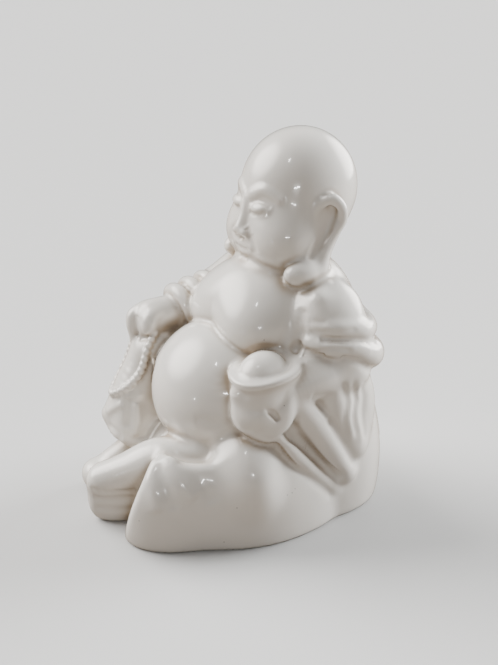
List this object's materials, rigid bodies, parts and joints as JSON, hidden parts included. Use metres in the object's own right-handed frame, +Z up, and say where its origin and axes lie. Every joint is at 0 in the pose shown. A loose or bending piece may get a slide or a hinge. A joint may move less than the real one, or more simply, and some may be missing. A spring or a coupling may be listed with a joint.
{
  "type": "budai figure",
  "caption": "Seated pot-bellied monk ornament in white glazed porcelain, right knee raised, left hand holding a boat-shaped ingot, right hand with prayer beads.",
  "frame": {"origin": "centre of the figure's outer box in plan, on the ground it stands on", "axes": "+Z up from the underside to the crown; the figure faces -Y; its own left hand is on the +X side"},
  "size_m": [0.0742, 0.1002, 0.1249],
  "materials": {
    "white_glaze": "gloss"
  },
  "bodies": {
    "root": {"budai_figure": "white_glaze"}
  },
  "joints": []
}
